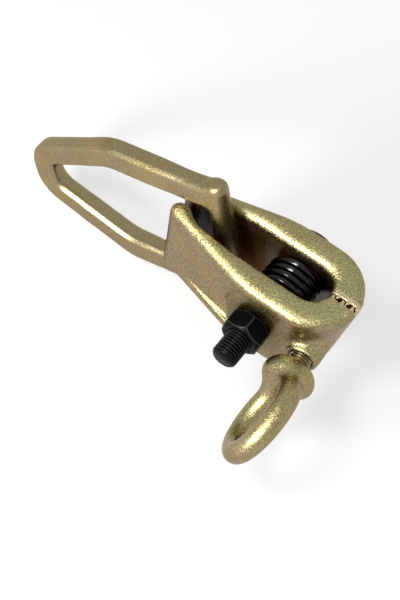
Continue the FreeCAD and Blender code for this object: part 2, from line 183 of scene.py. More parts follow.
def colour_property(name, description, hex_colour):
    """A colour that a user can change, with its default written as sRGB."""
    return bpy.props.FloatVectorProperty(
        name=name, description=description, subtype="COLOR", size=4, min=0.0, max=1.0,
        default=linear(hex_colour))


def length_property(name, description, millimetres):
    """A length that a user can change, kept in metres."""
    return bpy.props.FloatProperty(
        name=name, description=description, default=millimetres * MM, min=0.0,
        unit="LENGTH", precision=4)


class ZincFinish(bpy.types.PropertyGroup):
    """Colours and grain of the yellow zinc plating."""
    gold: colour_property("Gold", "The plating's brown patches", "9C8A5A")
    # Painted difference of light by facing: olive on faces that look up or down, a darker rosy
    # tan on the sides
    olive: colour_property("Olive", "The plating on faces that look up or down", "A39D6B")
    rose: colour_property("Rose", "The plating on the sides", "8F7E5E")
    grazing: colour_property("Grazing", "Tint of the plating seen nearly edge on", "B59C74")
    # Painted shade: the darkening of the plating in the slot between the jaws
    slot: colour_property("Slot", "What the slot between the jaws makes of the plating", "8A7550")
    # Painted shade: a further darkening at the slot's two ends
    slot_end_shade: colour_property("Grime", "What the slot's two ends make of that again", "6E604A")
    # Painted shade and painted reflection of the dark nut on the face round it
    nut_shade: colour_property("Oily", "What oil round the nut makes of the plating", "B5BC92")
    worn: colour_property("Worn", "Plating rubbed bright on the teeth", "E6D5AE")
    blotch: length_property("Blotch size", "How wide the blotches of colour are", 14.0)
    # The grain also sets painted glints, bright specks in the colour
    grain: length_property("Grain", "Size of the blasted grain under the plating", 1.1)


class BlackFinish(bpy.types.PropertyGroup):
    """Colours of the black oxide bolt, nut and spring."""
    bolt: colour_property("Bolt", "Black oxide on the bolt and the nut", "060707")
    spring: colour_property("Spring", "Blackened spring wire", "050606")
    # Rubbed grey steel, which also paints the highlight lines on edges and thread crests
    worn: colour_property("Worn", "Steel rubbed grey on edges and thread crests", "3C403E")
    cloud: length_property("Cloud size", "How wide the oil's clouds are", 3.846)
    grain: length_property("Grain", "Size of the grain in the black oxide", 0.7143)
    roughness: bpy.props.FloatProperty(
        name="Roughness", description="How dull the oiled black oxide is", default=0.3,
        min=0.0, max=1.0, subtype="FACTOR")


class FastenerSizes(bpy.types.PropertyGroup):
    """Sizes of the bolt, the nut and the threads."""
    bolt_diameter: length_property("Bolt diameter", "Outside of the bolt's thread", 16.0)
    bolt_pitch: length_property("Bolt pitch", "Rise of the bolt's thread per turn", 2.0)
    threaded: length_property("Threaded length", "Length of thread from the bolt's end", 40.0)
    across_flats: length_property("Across flats", "Width of the head and the nut", 24.0)
    head_height: length_property("Head height", "Thickness of the bolt's head", 10.0)
    nut_height: length_property("Nut height", "Thickness of the nut", 13.0)
    eye_diameter: length_property("Eye thread", "Outside of the eye bolt's thread", 14.0)
    softening: length_property("Edge softening", "How far the hexagons' edges are rounded", 0.35)


class EyeSizes(bpy.types.PropertyGroup):
    """Sizes of the forged eye."""
    collar_radius: length_property("Collar radius", "Outside of the round collar", 16.2)
    collar_length: length_property("Collar length", "Length of the collar along the thread", 13.0)
    shank_showing: length_property("Shank showing", "Thread between the boss and the collar", 6.0)
    collar_round: length_property("Collar rounding", "Radius of the collar's edges", 6.0)
    ring_radius: length_property("Eye radius", "From the eye's centre to its bar's middle", 23.6)
    bar_radius: length_property("Bar radius", "Half the thickness of the eye's bar", 6.6)
    overlap: length_property("Overlap", "How far the bar runs into the collar", 5.6)
    flow: length_property("Flow", "How softly the collar runs into the bar", 9.0)


class StudioSettings(bpy.types.PropertyGroup):
    """Light and floor."""
    key_power: bpy.props.FloatProperty(
        name="Key lamp", description="Power of the low lamp in front of the clamp", default=12.0,
        min=0.0, unit="POWER")
    high_power: bpy.props.FloatProperty(
        name="High lamp", description="Power of the high lamp in front of the clamp", default=5.0,
        min=0.0, unit="POWER")
    lamp_size: length_property("Lamp size", "Width of the square lamps", 240.0)
    room: bpy.props.FloatProperty(
        name="Room light", description="Strength of the light from all round", default=0.65,
        min=0.0)
    floor: colour_property("Floor", "Colour of the floor", "DCDCDA")


class ClampSettings(bpy.types.PropertyGroup):
    """Everything about the clamp's looks that a user would change."""
    zinc: bpy.props.PointerProperty(type=ZincFinish)
    black: bpy.props.PointerProperty(type=BlackFinish)
    fasteners: bpy.props.PointerProperty(type=FastenerSizes)
    eye: bpy.props.PointerProperty(type=EyeSizes)
    studio: bpy.props.PointerProperty(type=StudioSettings)


def settings():
    """The clamp's settings in the current scene."""
    return bpy.context.scene.pull_clamp


def add(tree, kind, place=(0, 0), links=None, **values):
    """Add a shader node. Values set its attributes or inputs, links feed its inputs."""
    made = tree.nodes.new(kind)
    made.location = place
    for name, value in values.items():
        if hasattr(made, name) and name not in made.inputs:
            setattr(made, name, value)
        else:
            made.inputs[name.replace("_", " ")].default_value = value
    for name, output in (links or {}).items():
        tree.links.new(output, made.inputs[name])
    return made


def new_material(name):
    """An empty material with its output node."""
    material = bpy.data.materials.new(name)
    material.use_nodes = True
    material.node_tree.nodes.clear()
    output = add(material.node_tree, "ShaderNodeOutputMaterial", (900, 0))
    return material, material.node_tree, output


def within(tree, limits, share=None):
    """How far a place lies within several limits at once, from 0 to 1, times a share.

    Each limit is a value, the place where it counts in full and the place where it is gone.
    """
    for value, (full, gone) in limits:
        part = add(tree, "ShaderNodeMapRange", (-700, 600), {"Value": value},
                   From_Min=full * MM, From_Max=gone * MM, To_Min=1.0, To_Max=0.0).outputs[0]
        if share is None:
            share = part
        else:
            share = add(tree, "ShaderNodeMath", (-400, 600), {0: share, 1: part},
                        operation="MULTIPLY").outputs[0]
    return share


def jaw_shade_and_wear(tree, place, colour, grain):
    """A jaw's plating with painted shade in its slot and round its nut, and its worn teeth.

    Painted shade darkens the plating to brown between the inner walls, below the rounded upper
    edges and behind the bite, and most so at the slot's two ends. More painted shade and a
    painted reflection of the dark nut darken it round the nut.
    The teeth are rubbed bright in specks.
    """
    zinc = settings().zinc
    parts = add(tree, "ShaderNodeSeparateXYZ", (-1100, 700), {0: place})
    along, side, height = parts.outputs
    across = add(tree, "ShaderNodeMath", (-900, 800), {0: side}, operation="ABSOLUTE").outputs[0]
    # Painted shade in the slot, and more of it at the slot's two ends
    slot = within(tree, [(across, SLOT_WALL), (along, SLOT_FRONT), (height, SLOT_TOP)])
    middle = add(tree, "ShaderNodeMath", (-900, 950), {0: along}, operation="SUBTRACT")
    middle.inputs[1].default_value = SLOT_MIDDLE_X * MM
    away = add(tree, "ShaderNodeMath", (-800, 950), {0: middle.outputs[0]}, operation="ABSOLUTE")
    ends = within(tree, [(away.outputs[0], SLOT_ENDS)], slot)
    flat = add(tree, "ShaderNodeCombineXYZ", (-900, 1100), {"X": along, "Z": height})
    around = add(tree, "ShaderNodeVectorMath", (-800, 1100), {0: flat.outputs[0]},
                 operation="DISTANCE")
    around.inputs[1].default_value = (BOLT_X * MM, 0.0, 0.0)
    # Painted shade and painted reflection of the dark nut, round the bolt's axis on the nut's
    # side
    oil = within(tree, [(around.outputs["Value"], NUT_SHADE_RING), (side, NUT_SHADE_SIDE)])
    # Painted shade: the slot, its two ends and the ring round the nut are darkened by multiplying
    for share, shade in ((slot, zinc.slot), (ends, zinc.slot_end_shade), (oil, zinc.nut_shade)):
        shaded = add(tree, "ShaderNodeMix", (0, 600), {"Factor": share, 6: colour},
                      data_type="RGBA", blend_type="MULTIPLY")
        shaded.inputs[7].default_value = shade
        colour = shaded.outputs[2]
    specks = add(tree, "ShaderNodeMapRange", (-700, 400), {"Value": grain},
                 From_Min=0.35, From_Max=0.6, To_Min=0.25, To_Max=1.0).outputs[0]
    teeth = within(tree, [(across, TEETH_ACROSS), (along, TEETH_FRONT), (along, TEETH_REAR)],
                   specks)
    worn = add(tree, "ShaderNodeMix", (60, 400), {"Factor": teeth, 6: colour}, data_type="RGBA")
    worn.inputs[7].default_value = zinc.worn
    return worn.outputs[2]


def zinc_plated(name, grain_depth, roughness, speckle=0.3, olive=1.0, on_jaw=False):
    """Yellow zinc plating over a grit blasted forging.

    The plating is painted olive on faces that look up or down and a darker rosy tan on the
    sides, a painted difference of light by facing, with slow blotches that shift each way and
    brown patches. The blasted grain under it varies the tone and adds painted glints, bright
    specks in the colour drawn about 1 mm coarse so that they show.
    """
    zinc = settings().zinc
    material, tree, output = new_material(name)
    coordinates = add(tree, "ShaderNodeTexCoord", (-1300, 0))
    place = coordinates.outputs["Object"]
    facing = add(tree, "ShaderNodeSeparateXYZ", (-1100, 400),
                 {0: coordinates.outputs["Normal"]})
    upward = add(tree, "ShaderNodeMath", (-900, 400), {0: facing.outputs["Z"]},
                 operation="ABSOLUTE")
    blotches = add(tree, "ShaderNodeTexNoise", (-900, 200), {"Vector": place},
                   Scale=1.0 / zinc.blotch, Detail=3.0, Roughness=0.6, Distortion=0.6)
    patches = add(tree, "ShaderNodeTexNoise", (-900, 0), {"Vector": place},
                  Scale=0.6 / zinc.blotch, Detail=3.0, Roughness=0.55)
    grain = add(tree, "ShaderNodeTexNoise", (-900, -200), {"Vector": place},
                Scale=1.0 / zinc.grain, Detail=3.0, Roughness=0.7)
    fine = add(tree, "ShaderNodeTexNoise", (-900, -420), {"Vector": place},
               Scale=2.3 / zinc.grain, Detail=2.0, Roughness=0.6)
    # Painted difference of light by facing: faces that look up or down turn olive, the sides a
    # darker rosy tan
    shifted = add(tree, "ShaderNodeMath", (-700, 300),
                  {0: upward.outputs[0], 1: blotches.outputs["Fac"]}, operation="ADD")
    olive_share = add(tree, "ShaderNodeMapRange", (-520, 300), {"Value": shifted.outputs[0]},
                      From_Min=0.75, From_Max=1.35, To_Min=0.0, To_Max=olive)
    brown_share = add(tree, "ShaderNodeMapRange", (-520, 0), {"Value": patches.outputs["Fac"]},
                      From_Min=0.48, From_Max=0.7, To_Min=0.0, To_Max=0.75)
    facing_tone = add(tree, "ShaderNodeMix", (-300, 240), {"Factor": olive_share.outputs[0]},
               data_type="RGBA")
    facing_tone.inputs[6].default_value = zinc.rose
    facing_tone.inputs[7].default_value = zinc.olive
    blotched = add(tree, "ShaderNodeMix", (-100, 140),
                   {"Factor": brown_share.outputs[0], 6: facing_tone.outputs[2]}, data_type="RGBA")
    blotched.inputs[7].default_value = zinc.gold
    # Grain tone with painted glints: the grain's brightest specks lift the colour to nearly twice
    grain_and_glints = add(tree, "ShaderNodeMapRange", (-520, -200), {"Value": grain.outputs["Fac"]},
                  From_Min=0.42, From_Max=0.72, To_Min=1.0 - 0.5 * speckle,
                  To_Max=1.0 + 2.0 * speckle)
    colour = add(tree, "ShaderNodeVectorMath", (160, 140),
                 {0: blotched.outputs[2], 1: grain_and_glints.outputs[0]},
                 operation="MULTIPLY").outputs[0]
    # On the jaws: painted shade in the slot and round the nut, and worn teeth
    if on_jaw:
        colour = jaw_shade_and_wear(tree, place, colour, grain.outputs["Fac"])
    dullness = add(tree, "ShaderNodeMapRange", (-520, -420), {"Value": grain.outputs["Fac"]},
                   From_Min=0.3, From_Max=0.7, To_Min=roughness - 0.06,
                   To_Max=roughness + 0.08)
    height = add(tree, "ShaderNodeMath", (-300, -300),
                 {0: grain.outputs["Fac"], 1: fine.outputs["Fac"]}, operation="ADD")
    bump = add(tree, "ShaderNodeBump", (160, -300), {"Height": height.outputs[0]},
               Strength=1.0, Distance=grain_depth * MM)
    shader = add(tree, "ShaderNodeBsdfPrincipled", (500, 0),
                 {"Base Color": colour, "Roughness": dullness.outputs[0],
                  "Normal": bump.outputs[0]},
                 Metallic=1.0, Coat_Weight=0.7, Coat_Roughness=0.26)
    shader.inputs["Specular Tint"].default_value = zinc.grazing
    tree.links.new(shader.outputs[0], output.inputs[0])
    return material


def black_oxide(name, colour, shine, roughness, grain_depth=0.03, worn=None):
    """Black oxide on steel, oiled: nearly black, with small sharp highlights.

    Where a piece has the attribute worn, its edges are rubbed to grey steel, which also
    paints highlight lines along edges and thread crests.
    """
    black = settings().black
    material, tree, output = new_material(name)
    place = add(tree, "ShaderNodeTexCoord", (-700, 0)).outputs["Object"]
    cloud = add(tree, "ShaderNodeTexNoise", (-500, 100), {"Vector": place},
                Scale=1.0 / black.cloud, Detail=3.0, Roughness=0.6)
    grain = add(tree, "ShaderNodeTexNoise", (-500, -150), {"Vector": place},
                Scale=1.0 / black.grain, Detail=2.0, Roughness=0.5)
    dullness = add(tree, "ShaderNodeMapRange", (-280, 100), {"Value": cloud.outputs["Fac"]},
                   From_Min=0.3, From_Max=0.7, To_Min=roughness - 0.08, To_Max=roughness + 0.1)
    bump = add(tree, "ShaderNodeBump", (-60, -150), {"Height": grain.outputs["Fac"]},
               Strength=1.0, Distance=grain_depth * MM)
    shader = add(tree, "ShaderNodeBsdfPrincipled", (300, 0),
                 {"Roughness": dullness.outputs[0], "Normal": bump.outputs[0]},
                 Metallic=0.0, Specular_IOR_Level=shine)
    shader.inputs["Base Color"].default_value = colour
    if worn:
        rubbed = add(tree, "ShaderNodeAttribute", (-500, 350), attribute_name="worn")
        specks = add(tree, "ShaderNodeMapRange", (-280, 300), {"Value": grain.outputs["Fac"]},
                     From_Min=0.35, From_Max=0.6, To_Min=0.3, To_Max=1.0)
        share = add(tree, "ShaderNodeMath", (-100, 300),
                    {0: rubbed.outputs["Fac"], 1: specks.outputs[0]}, operation="MULTIPLY")
        edge = add(tree, "ShaderNodeMix", (60, 300), {"Factor": share.outputs[0]},
                   data_type="RGBA")
        edge.inputs[6].default_value = colour
        edge.inputs[7].default_value = worn
        tree.links.new(edge.outputs[2], shader.inputs["Base Color"])
    tree.links.new(shader.outputs[0], output.inputs[0])
    return material


def dress(node, material):
    """Give every material slot of a CAD node the same finish."""
    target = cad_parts[node]
    if not target.material_slots:
        target.data.materials.append(material)
    for slot in target.material_slots:
        slot.material = material


def mesh_object(name, vertices, faces, material):
    """A mesh object at the origin with smooth faces."""
    mesh = bpy.data.meshes.new(name)
    mesh.from_pydata(vertices, [], faces)
    mesh.update()
    mesh.materials.append(material)
    mesh.polygons.foreach_set("use_smooth", np.ones(len(mesh.polygons), dtype=bool))
    made = bpy.data.objects.new(name, mesh)
    bpy.context.scene.collection.objects.link(made)
    return made


def wrapped_quads(rows, columns):
    """Faces of a grid of rows and columns whose columns close on themselves."""
    row = np.arange(rows - 1)[:, None] * columns
    here = np.arange(columns)[None, :]
    there = (here + 1) % columns
    after = row + columns
    quads = np.stack([row + here, row + there, after + there, after + here], -1)
    return quads.reshape(-1, 4).tolist()


def turned(radius, along, angle):
    """Points at a radius about the Y axis: X is radius times the sine, Z times the cosine."""
    return np.stack([radius * np.sin(angle), along + 0.0 * angle, radius * np.cos(angle)], -1)


def wear(target, amounts):
    """Write how worn each point of a mesh is, for its material to read as rubbed grey steel and
    painted highlight lines.
    """
    layer = target.data.attributes.new("worn", "FLOAT", "POINT")
    layer.data.foreach_set("value", np.ascontiguousarray(amounts, dtype=np.float32).ravel())


def full_turn(columns):
    """Equal steps of angle once round, as a row."""
    return np.linspace(0.0, 2 * np.pi, columns, endpoint=False)[None, :]


def revolved(name, radius, along, material, move):
    """A closed skin about Y from a grid of radii and heights; its ends are capped.

    radius and along are arrays of rows by columns, the columns being equal steps of angle.
    """
    rows, columns = radius.shape
    points = turned(radius, along, full_turn(columns) + 0.0 * radius)
    flat = move(points.reshape(-1, 3)) * MM
    faces = wrapped_quads(rows, columns)
    faces.append(list(range(columns - 1, -1, -1)))
    faces.append(list(range((rows - 1) * columns, rows * columns)))
    return mesh_object(name, flat.tolist(), faces, material)


def outward(target):
    """Make all faces of a closed mesh point outwards."""
    work = bmesh.new()
    work.from_mesh(target.data)
    bmesh.ops.remove_doubles(work, verts=work.verts, dist=1e-7)
    bmesh.ops.recalc_face_normals(work, faces=work.faces)
    work.to_mesh(target.data)
    work.free()
    smooth = np.ones(len(target.data.polygons), dtype=bool)
    target.data.polygons.foreach_set("use_smooth", smooth)
    target.data.update()


def soft_least(first, second, blend):
    """The smaller of two values, with the corner between them rounded over blend."""
    share = np.clip(0.5 + 0.5 * (second - first) / blend, 0.0, 1.0)
    return second + (first - second) * share - blend * share * (1.0 - share)


def thread_radius(along, angle, crest, depth, pitch, start, run_in):
    """Radius of a right-hand thread.

    The radius falls from the crest by depth times a triangle wave of the height in pitches
    plus the turns made, whose tops and valleys are cut flat over 12% of it each. The thread
    fades in over run_in from the start.
    """
    phase = (along / pitch + angle / (2 * np.pi)) % 1.0
    wave = np.abs(2.0 * phase - 1.0)
    wave = np.clip((wave - 0.12) / 0.76, 0.0, 1.0)
    fade = np.clip((along - start) / run_in, 0.0, 1.0)
    return crest - depth * wave * fade


def hexagon_radius(angle, across_flats, softening):
    """Distance to the side of a hexagon at an angle, its corners rounded off.

    It is half the width over the cosine of the angle to the nearest flat's middle. A
    corner lies at angle zero and is cut back by about a third of the softening.
    """
    folded = angle % (math.pi / 3) - math.pi / 6
    straight = across_flats / 2 / np.cos(folded)
    corner = across_flats / 2 / math.cos(math.pi / 6) - softening * 0.35
    return soft_least(straight, corner + 0.0 * straight, softening)


def hexagon_rows(low, high, chamfer_low, chamfer_high):
    """Heights along a hexagon, close together where its chamfers run out."""
    from_low = np.linspace(0.0, 3.2, 20) if chamfer_low else np.array([0.0, 0.12])
    from_high = np.linspace(3.2, 0.0, 20) if chamfer_high else np.array([0.12, 0.0])
    middle = np.linspace(low + 3.6, high - 3.6, 4)
    return np.concatenate([low + from_low, middle, high - from_high])


def hexagon_profile(sizes, low, high, chamfer_low, chamfer_high, turn, cone_shape):
    """Radii, heights and wear of a hexagon whose ends are coned off.

    Wear, rubbed steel and painted highlight lines at once, falls off as a bell curve either
    side of the corners and of the cones' edges.
    """
    width = sizes.across_flats / MM
    soft = sizes.softening / MM
    rows = hexagon_rows(low, high, chamfer_low, chamfer_high)
    angle = full_turn(HEXAGON_COLUMNS) - math.radians(turn)
    side = hexagon_radius(angle, width, soft) + 0.0 * rows[:, None]
    from_corner = (angle + math.pi / 6) % (math.pi / 3) - math.pi / 6
    worn = np.exp(-(from_corner * width / 2 / EDGE_WEAR_AND_HIGHLIGHT) ** 2) + 0.0 * side
    flat_end = width / 2 - cone_shape[0]
    radius = side
    ends = []
    if chamfer_low:
        ends.append(rows - low)
    if chamfer_high:
        ends.append(high - rows)
    for distance in ends:
        cone = flat_end + cone_shape[1] * distance[:, None] + 0.0 * side
        worn = np.where(cone < side, 0.0, worn)
        worn = np.maximum(worn, np.exp(-((cone - side) / EDGE_WEAR_AND_HIGHLIGHT) ** 2))
        radius = soft_least(radius, cone, soft)
    return radius, rows[:, None] + 0.0 * side, worn


def to_bolt(points):
    """Move points from the Y axis to the bolt's axis."""
    return points + np.array([BOLT_X, 0.0, 0.0])


def rotation(axis, degrees):
    """A 3 by 3 turn about the X, Y or Z axis."""
    return np.array(Matrix.Rotation(math.radians(degrees), 3, axis))


def to_eye(points):
    """Turn and move points from the Y axis to the eye bolt's splayed axis."""
    points = points @ rotation("Y", EYE_TURNED).T
    points = points + np.array([0.0, -EYE_BOSS_FACE_Y, 0.0])
    points = points @ rotation("Z", EYE_SPLAY).T
    return points + np.array([EYE_AXIS[0], EYE_BOSS_FACE_Y, EYE_AXIS[1]])


class ClampPart:
    """What all the clamp's operators share."""
    bl_options = {"REGISTER", "UNDO"}


class CLAMP_OT_forgings(ClampPart, bpy.types.Operator):
    """Draw the jaws and the pull ring with worn edges and a plated finish"""
    bl_idname = "clamp.forgings"
    bl_label = "Forgings"

    def execute(self, context):
        forging = zinc_plated("zinc_plated_blasted_forging", 0.22, 0.28, 0.42, on_jaw=True)
        smooth = zinc_plated("zinc_plated_smooth_forging", 0.07, 0.3, 0.2, olive=0.45)
        near = forged_skin("near_jaw", "near_jaw_forging", JAW_WEAR, jaw_crispness, forging)
        far = forged_skin("far_jaw", "far_jaw_forging", JAW_WEAR, jaw_crispness, forging)
        ring = forged_skin("pull_ring", "ring_forging", RING_WEAR, ring_crispness, smooth)
        for piece, body in ((near, "near_jaw"), (far, "far_jaw"), (ring, "pull_ring")):
            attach(piece, body)
            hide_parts(body)
        return {"FINISHED"}


class CLAMP_OT_bolt(ClampPart, bpy.types.Operator):
    """Draw the hexagon bolt with its thread"""
    bl_idname = "clamp.bolt"
    bl_label = "Bolt"

    def execute(self, context):
        sizes = settings().fasteners
        finish = settings().black
        black = black_oxide("black_oxide_bolt_steel", finish.bolt, 0.06, finish.roughness,
                            worn=finish.worn)
        crest = sizes.bolt_diameter / MM / 2 - INSET
        pitch = sizes.bolt_pitch / MM
        depth = BOLT_THREAD_DEPTH * pitch
        threaded = sizes.threaded / MM
        rows = np.concatenate([
            [BOLT_END_Y + INSET],
            np.arange(BOLT_END_Y + 0.15, BOLT_END_Y + threaded, pitch / 12),
            np.linspace(BOLT_END_Y + threaded + 0.5, HEAD_SEAT_Y + 1.0, 8)])
        angle = full_turn(ROUND_COLUMNS)
        along = rows[:, None] + 0.0 * angle
        radius = thread_radius(along, angle, crest, depth, pitch, BOLT_END_Y, 1.0)
        plain = np.clip((along - BOLT_END_Y - threaded + RUN_OUT) / RUN_OUT, 0.0, 1.0)
        radius = radius + (crest - radius) * plain
        cone = crest - BOLT_END_CONE + (along - BOLT_END_Y)
        radius = soft_least(radius, cone, 0.25)
        shank = revolved("bolt_shank", radius, along, black, to_bolt)
        # Thread crests rubbed grey, which also paints their highlight lines
        rubbed = np.clip((radius - crest) / (0.12 * depth) + 1.0, 0.0, 1.0)
        wear(shank, 0.6 * rubbed * (1.0 - plain))
        low = HEAD_SEAT_Y + INSET
        high = HEAD_SEAT_Y + sizes.head_height / MM - INSET
        radius, along, worn = hexagon_profile(sizes, low, high, False, True, HEAD_TURNED,
                                              HEAD_CONE)
        head = revolved("bolt_head", radius, along, black, to_bolt)
        wear(head, worn)
        for piece in (shank, head):
            outward(piece)
            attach(piece, "bolt")
            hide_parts("jaw_bolt")
        return {"FINISHED"}


class CLAMP_OT_nut(ClampPart, bpy.types.Operator):
    """Draw the hexagon nut"""
    bl_idname = "clamp.nut"
    bl_label = "Nut"

    def execute(self, context):
        sizes = settings().fasteners
        finish = settings().black
        black = black_oxide("black_oxide_nut_steel", finish.bolt, 0.05, finish.roughness,
                            worn=finish.worn)
        high = NUT_SEAT_Y - INSET
        low = NUT_SEAT_Y - sizes.nut_height / MM + INSET
        radius, along, worn = hexagon_profile(sizes, low, high, True, True, NUT_TURNED,
                                              NUT_CONE)
        bore = sizes.bolt_diameter / MM / 2 + 2 * INSET
        ring = np.ones((1, HEXAGON_COLUMNS))
        radius = np.concatenate([bore * ring, bore * ring, (bore + NUT_MOUTH) * ring, radius,
                                 (bore + NUT_MOUTH) * ring, bore * ring])
        along = np.concatenate([(high - NUT_MOUTH) * ring, (low + NUT_MOUTH) * ring,
                                low * ring, along, high * ring, (high - NUT_MOUTH) * ring])
        angle = full_turn(HEXAGON_COLUMNS) + 0.0 * radius
        points = to_bolt(turned(radius, along, angle).reshape(-1, 3)) * MM
        nut = mesh_object("nut_body", points.tolist(),
                          wrapped_quads(len(radius), HEXAGON_COLUMNS), black)
        bare = 0.0 * ring
        wear(nut, np.concatenate([bare, bare, bare, worn, bare, bare]))
        outward(nut)
        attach(nut, "nut")
        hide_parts("jaw_nut")
        return {"FINISHED"}


class CLAMP_OT_spring(ClampPart, bpy.types.Operator):
    """Give the spring its blackened wire"""
    bl_idname = "clamp.spring"
    bl_label = "Spring"

    def execute(self, context):
        wire = black_oxide("blackened_spring_wire", settings().black.spring, 0.4, 0.12, 0.01)
        dress("jaw_spring", wire)
        return {"FINISHED"}


class CLAMP_OT_eye_bolt(ClampPart, bpy.types.Operator):
    """Draw the forged eye and its thread"""
    bl_idname = "clamp.eye_bolt"
    bl_label = "Eye bolt"

    def execute(self, context):
        eye = settings().eye
        sizes = settings().fasteners
        plating = zinc_plated("zinc_plated_eye_forging", 0.18, 0.28, 0.35)
        thread_plating = zinc_plated("zinc_plated_thread", 0.02, 0.26, 0.1)
        low, high = np.array(eye_box())
        axes = [np.arange(low[k], high[k], GRID_STEP) for k in range(3)]
        depth = eye_depth(*np.meshgrid(*axes, indexing="ij"))
        forging = skin_of("eye_forging", depth, low, plating, to_eye)

        collar_top = EYE_BOSS_FACE_Y - eye.shank_showing / MM
        crest = sizes.eye_diameter / MM / 2 - INSET
        rows = np.arange(collar_top - 2.0, EYE_BOSS_FACE_Y + 3.0, EYE_PITCH / 14)
        angle = full_turn(ROUND_COLUMNS)
        along = rows[:, None] + 0.0 * angle
        radius = thread_radius(along, angle, crest, EYE_THREAD_DEPTH * EYE_PITCH, EYE_PITCH,
                               rows[0] - 1.0, 0.5)
        thread = revolved("eye_thread", radius, along, thread_plating, to_eye)
        outward(thread)
        for piece in (forging, thread):
            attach(piece, "eye_bolt")
            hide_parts("eye_bolt")
        return {"FINISHED"}


def counted(value, limit):
    """How far a value lies within a limit, from 0 to 1: in full at its first number or
    beyond, and gone at its second."""
    full, gone = limit
    return np.clip((gone - value) / (gone - full), 0.0, 1.0)


def ring_crispness(x, y, z):
    """How crisp the ring stays, from 0 to 1.

    It is nearly crisp all over, softer at its tip and soft at the ends of its short bar.
    """
    corner = counted(x, SOFT_BAR_X) * counted(np.abs(z), SOFT_BAR_Z)
    tip = SOFT_TIP_SHARE * counted(x, SOFT_TIP_X)
    return (1.0 - np.maximum(corner, tip)) * CRISP_RING_SHARE + 0.0 * y


def jaw_crispness(x, y, z):
    """How crisp a jaw stays, from 0 to 1.

    It is fully crisp at its teeth, its seats and its holes, and its lower rim nearly so.
    """
    teeth = counted(x, CRISP_BITE_X) * counted(np.abs(y), CRISP_TEETH_Y)
    bolt = counted(np.hypot(x - BOLT_X, z), CRISP_BOLT)
    eye = counted(np.hypot(x - EYE_AXIS[0], z - EYE_AXIS[1]), CRISP_EYE) * (y < EYE_SIDE_Y)
    low = CRISP_RIM_SHARE * counted(z, CRISP_RIM_Z)
    return np.maximum(np.maximum(teeth, bolt), np.maximum(eye, low))


def forged_skin(node, name, softness, crispness, material):
    """A copy of a CAD solid whose edges are worn round as on a real forging.

    The depth below the solid's surface, cut off past SKIN_DEPTH, is worked out on a grid
    and smeared out as by a bell curve softness millimetres wide, except where the piece is
    crisp. The skin lies where the result is zero.
    """
    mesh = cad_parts[node].data
    corners = np.empty(len(mesh.vertices) * 3)
    mesh.vertices.foreach_get("co", corners)
    corners = corners.reshape(-1, 3) / MM
    faces = [tuple(face.vertices) for face in mesh.polygons]
    tree = BVHTree.FromPolygons(corners.tolist(), faces)
    low = corners.min(0) - GRID_SPARE - GRID_SHIFT
    counts = np.ceil((corners.max(0) + GRID_SPARE - low) / GRID_STEP).astype(int) + 1
    inside = inside_of(tree, low, counts)
    depth = np.where(inside, -SKIN_DEPTH, SKIN_DEPTH)
    near = np.zeros(counts, dtype=bool)
    for axis in range(3):
        for shift in (-2, -1, 1, 2):
            near |= inside != np.roll(inside, shift, axis)
    for place in np.argwhere(near):
        found = tree.find_nearest(Vector(low + GRID_STEP * place))
        depth[tuple(place)] *= min(found[3] / SKIN_DEPTH, 1.0)
    axes = [low[k] + GRID_STEP * np.arange(counts[k]) for k in range(3)]
    crisp = crispness(*np.meshgrid(*axes, indexing="ij"))
    soft = smeared(depth, softness)
    return skin_of(name, soft + (depth - soft) * crisp, low, material, lambda points: points)


def inside_of(tree, low, counts):
    """Which points of a grid lie in a closed solid.

    Each line of points along Z is looked along. A point is inside where an odd number of
    faces lies below it.
    """
    inside = np.zeros(counts, dtype=bool)
    heights = low[2] + GRID_STEP * np.arange(counts[2])
    up = Vector((0.0, 0.0, 1.0))
    for i, j in np.ndindex(counts[0], counts[1]):
        start = Vector((low[0] + GRID_STEP * i, low[1] + GRID_STEP * j, low[2]))
        crossings = []
        while True:
            place = tree.ray_cast(start, up)[0]
            if place is None:
                break
            crossings.append(place.z)
            start.z = place.z + 0.001
        if len(crossings) > 1:
            passed = np.searchsorted(crossings, heights)
            inside[i, j] = passed % 2 == 1
    return inside


def smeared(value, softness):
    """A grid smeared along each axis by a bell curve softness millimetres wide."""
    width = softness / GRID_STEP
    reach = int(3 * softness / GRID_STEP)
    offsets = np.arange(-reach, reach + 1)
    weights = np.exp(-offsets ** 2 / (2 * width ** 2))
    weights /= weights.sum()
    for axis in range(3):
        value = sum(weight * np.roll(value, offset, axis)
                    for weight, offset in zip(weights, offsets))
    return value


def eye_centre():
    """Height of the eye's centre along the eye bolt's axis, in millimetres."""
    eye = settings().eye
    collar_end = eye.shank_showing + eye.collar_length
    below = collar_end - eye.overlap + eye.bar_radius + eye.ring_radius
    return EYE_BOSS_FACE_Y - below / MM


def eye_box():
    """The least and greatest X, Y and Z that the eye's skin needs, in millimetres."""
    eye = settings().eye
    outer = (eye.ring_radius + eye.bar_radius) / MM + 2.0
    thick = eye.collar_radius / MM + 2.0
    top = EYE_BOSS_FACE_Y - eye.shank_showing / MM + 2.0
    return (-thick, eye_centre() - outer, -outer), (thick, top, outer)


